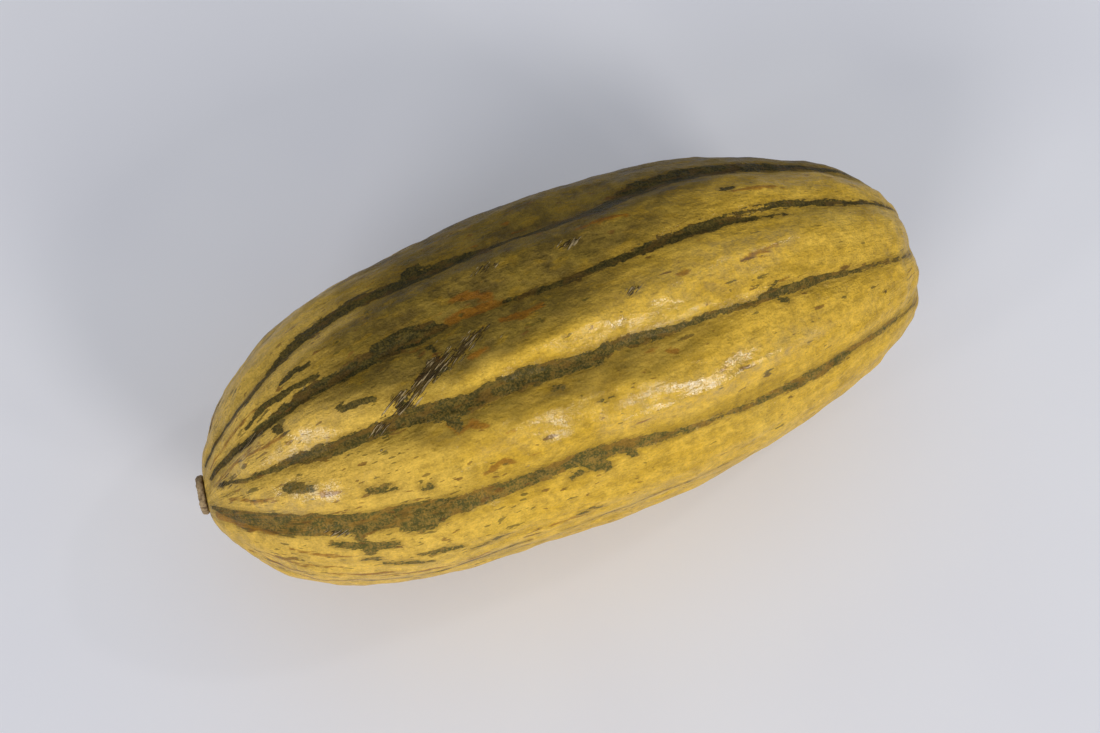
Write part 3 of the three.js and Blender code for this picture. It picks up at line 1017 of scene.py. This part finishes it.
u = np.where((highest[face_of] > 0.75) & (u < 0.25), u + 1.0, u)
pole = (loop_vertex == 0) | (loop_vertex == len(grown.vertices) - 1)
neighbour = np.where(pole, np.roll(u, -1), u)
u = np.where(pole, neighbour + 0.5 / SPOKES, u)
map_places = np.stack([u * (1 - 2 * MAP_MARGIN) + MAP_MARGIN / 2, v], 1)
wrap.data.foreach_set("uv", map_places.ravel().astype(np.float32))
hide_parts("fruit")
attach(fruit, "root")
print("fruit", len(grown.polygons), "faces")

# %% [markdown]
# ## The stem stub
# When the squash is cut from the vine a short woody stem is left, which dries, shrinks and often
# breaks off to a low corky disc with five lobes. The disc is built as rings about its own axis,
# roughened with a fixed noise, cracked in towards the middle, and set a hair clear of the fruit.

# %%
from mathutils import noise as hills

STUB_RADIUS = 4.9 * MM
STUB_SPOKES = 120
LOBES = 5
CRACK_DEPTH = 0.35 * MM
# The disc from the middle of its underside, over the rim, to the middle of its top: each ring is a
# fraction of the radius and a level, 0 underneath and 1 on the rim's crest.
STUB_PROFILE = [
    (0.25, 0.0), (0.5, 0.0), (0.75, 0.0), (0.9, 0.01), (0.97, 0.08), (1.0, 0.22), (1.01, 0.4),
    (1.0, 0.6), (0.98, 0.78), (0.95, 0.9), (0.9, 0.98), (0.82, 1.0), (0.7, 0.97), (0.56, 0.9),
    (0.42, 0.84), (0.28, 0.82), (0.14, 0.8),
]


def stub_point(fraction, angle, level):
    """A point of the disc; rough is its broad unevenness and crumb its fine one."""
    lobe = 1 + 0.05 * math.cos(LOBES * angle)
    rough = hills.noise(Vector((3 * math.cos(angle), 3 * math.sin(angle), 4 * fraction + 2 * level)))
    crumb = hills.noise(Vector((14 * math.cos(angle), 14 * math.sin(angle), 9 * level + 9 * fraction)))
    radius = STUB_RADIUS * fraction * lobe * (1 + 0.035 * rough + 0.02 * crumb)
    crack = max(0.0, math.cos(LOBES * angle + 2.2 * rough)) ** 8 * fraction * (1 if level > 0.7 else 0)
    high = level * STUB_HEIGHT * (1 + 0.10 * rough + 0.05 * crumb) - CRACK_DEPTH * crack
    place = radius * (math.cos(angle) * seat_side + math.sin(angle) * seat_up)
    return Vector(seat_centre + place + (STUB_GAP + high) * seat_out)


stub_points = [stub_point(0, 0, 0)]
for fraction, level in STUB_PROFILE:
    for s in range(STUB_SPOKES):
        stub_points.append(stub_point(fraction, -2 * math.pi * s / STUB_SPOKES, level))
stub_points.append(stub_point(0, 0, 0.8))
stub_mesh = bpy.data.meshes.new("squash_stem_stub")
stub_mesh.from_pydata([tuple(p) for p in stub_points], [], tube_faces(len(STUB_PROFILE), STUB_SPOKES))
stub_mesh.polygons.foreach_set("use_smooth", [True] * len(stub_mesh.polygons))
stub = bpy.data.objects.new("squash_stem_stub", stub_mesh)
bpy.context.scene.collection.objects.link(stub)
print("stub", len(stub_mesh.polygons), "faces")

# %% [markdown]
# ## Dry cork
# Dry stem is dull and crumbly, pale on its high spots and brown in its pores. One coarse noise
# carries the colour, the roughness and the bumps together, as they go together on the real thing,
# and a finer one adds the pores.

# %%
CORK_BROWN, CORK_PALE, CORK_PORE = rgb(104, 82, 54), rgb(172, 148, 110), rgb(92, 72, 50)

cork_skin = bpy.data.materials.new("cork")
t = shade(cork_skin)
spot = t.node("ShaderNodeTexCoord").outputs["Object"]
coarse = noise(t, spot, 700.0, 4.0, 0.65)
fine = noise(t, spot, 2600.0, 3.0, 0.6)
colour = over(t, ramp(t, coarse, 0.36, 0.62), CORK_BROWN, CORK_PALE)
colour = over(t, ramp(t, fine, 0.56, 0.7, 0.0, 0.6), colour, CORK_PORE)
bump = bumps(t, t.plus(coarse, t.times(fine, 0.5)), 0.8, 0.3 * MM)
rough = ramp(t, coarse, 0.3, 0.7, 0.75, 0.95)
cork_finish = {"Base Color": colour, "Roughness": rough, "Normal": bump}
surface = t.node("ShaderNodeBsdfPrincipled", cork_finish)
t.node("ShaderNodeOutputMaterial", {"Surface": surface.outputs[0]})
stub_mesh.materials.append(cork_skin)
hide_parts("stem_stub")
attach(stub, "root")
print("cork nodes", len(cork_skin.node_tree.nodes))

# %% [markdown]
# ## The table
# The table is a plain pale sheet, three metres to each side so that its edge is never near. Its
# white is very slightly cloudy, like paper, because a perfectly even white looks like no material.

# %%
TABLE_REACH = 3
PAPER_DIM, PAPER_BRIGHT = rgb(238, 238, 245), rgb(241, 241, 247)

corners = [(-1, -1), (1, -1), (1, 1), (-1, 1)]
floor_mesh = bpy.data.meshes.new("table")
floor_mesh.from_pydata([(x * TABLE_REACH, y * TABLE_REACH, 0) for x, y in corners], [], [(0, 1, 2, 3)])
table = bpy.data.objects.new("table", floor_mesh)
bpy.context.scene.collection.objects.link(table)
paper = bpy.data.materials.new("paper")
t = shade(paper)
spot = t.node("ShaderNodeTexCoord").outputs["Object"]
colour = over(t, ramp(t, noise(t, spot, 9.0, 2.0), 0.35, 0.65), PAPER_DIM, PAPER_BRIGHT)
paper_finish = {"Base Color": colour, "Roughness": 0.75, "Specular IOR Level": 0.2}
surface = t.node("ShaderNodeBsdfPrincipled", paper_finish)
t.node("ShaderNodeOutputMaterial", {"Surface": surface.outputs[0]})
floor_mesh.materials.append(paper)
print("table", 2 * TABLE_REACH, "m wide")

# %% [markdown]
# ## The light
# Pale light fills the air. Two soft lamps stand low in front, the key to the right and the fill to
# the left, and rake the skin, so that the near side of every rib is bright and its upper side dull.
# A weak bluish lamp at the side cools the shadows. Wax only shines where it mirrors something
# bright, so three small lamps do nothing but put a highlight on the crests, the flank and the stem
# end. They are weak, and hardly change the light on the table.

# %%
AIR_COLOUR, AIR_STRENGTH = (0.90, 0.94, 1.0, 1.0), 0.41
LAMP_AIM = Vector((0, 0, 40 * MM))

world = bpy.data.worlds.new("air")
world.use_nodes = True
background = world.node_tree.nodes["Background"]
background.inputs["Color"].default_value = AIR_COLOUR
background.inputs["Strength"].default_value = AIR_STRENGTH
bpy.context.scene.world = world


def compass(azimuth, elevation):
    """Which way to step back from the squash, in degrees: azimuth 0 is in front, 90 to the right."""
    a, e = math.radians(azimuth), math.radians(elevation)
    return Vector((math.sin(a) * math.cos(e), -math.cos(a) * math.cos(e), math.sin(e)))


def stand(thing, aim, away, distance):
    """Puts a lamp or a camera this far back from its aim, looking at it."""
    thing.location = aim + away * distance
    thing.rotation_euler = away.to_track_quat("Z", "Y").to_euler()
    bpy.context.scene.collection.objects.link(thing)


def lamp(name, azimuth, elevation, distance, size, power, colour):
    """A square lamp: distance and size in metres, power in watts."""
    data = bpy.data.lights.new(name, "AREA")
    data.size = size
    data.energy = power
    data.color = colour
    light = bpy.data.objects.new(name, data)
    stand(light, LAMP_AIM, compass(azimuth, elevation), distance)


WARM_WHITE, SOFT_WHITE, SHEEN_WHITE = (1.0, 0.97, 0.92), (1.0, 0.98, 0.96), (1.0, 0.98, 0.95)
PALE_BLUE = (0.62, 0.80, 1.0)
lamp("key", 17, 27, 2.6, 0.60, 20.4, WARM_WHITE)
lamp("fill", -48, 26, 2.6, 0.90, 21.6, SOFT_WHITE)
lamp("side", 62, 30, 1.5, 1.2, 1.4, PALE_BLUE)
lamp("crest_sheen", 84, 52, 1.3, 0.075, 0.62, SHEEN_WHITE)
lamp("flank_sheen", 31, 18, 1.3, 0.10, 1.4, SHEEN_WHITE)
lamp("stem_sheen", -72, 28, 1.3, 0.10, 0.9, SHEEN_WHITE)
print("lamps", len(bpy.data.lights))

# %% [markdown]
# ## The camera
# It looks down steeply from the front left with a normal lens, so the stem end points to the lower
# left of the view and the blossom end is just turned out of sight. The standard view transform
# keeps the colours as they were mixed.

# %%
AZIMUTH, ELEVATION, DISTANCE = -21.97, 63.0, 409.2 * MM
AIM = Vector((-2.0, 0.0, 43.6)) * MM
NORMAL_LENS = 50
camera_data = bpy.data.cameras.new("camera")
camera_data.lens = NORMAL_LENS
camera = bpy.data.objects.new("camera", camera_data)
stand(camera, AIM, compass(AZIMUTH, ELEVATION), DISTANCE)
bpy.context.scene.camera = camera
bpy.context.scene.view_settings.view_transform = "Standard"
print("camera at", [round(v, 3) for v in camera.location])
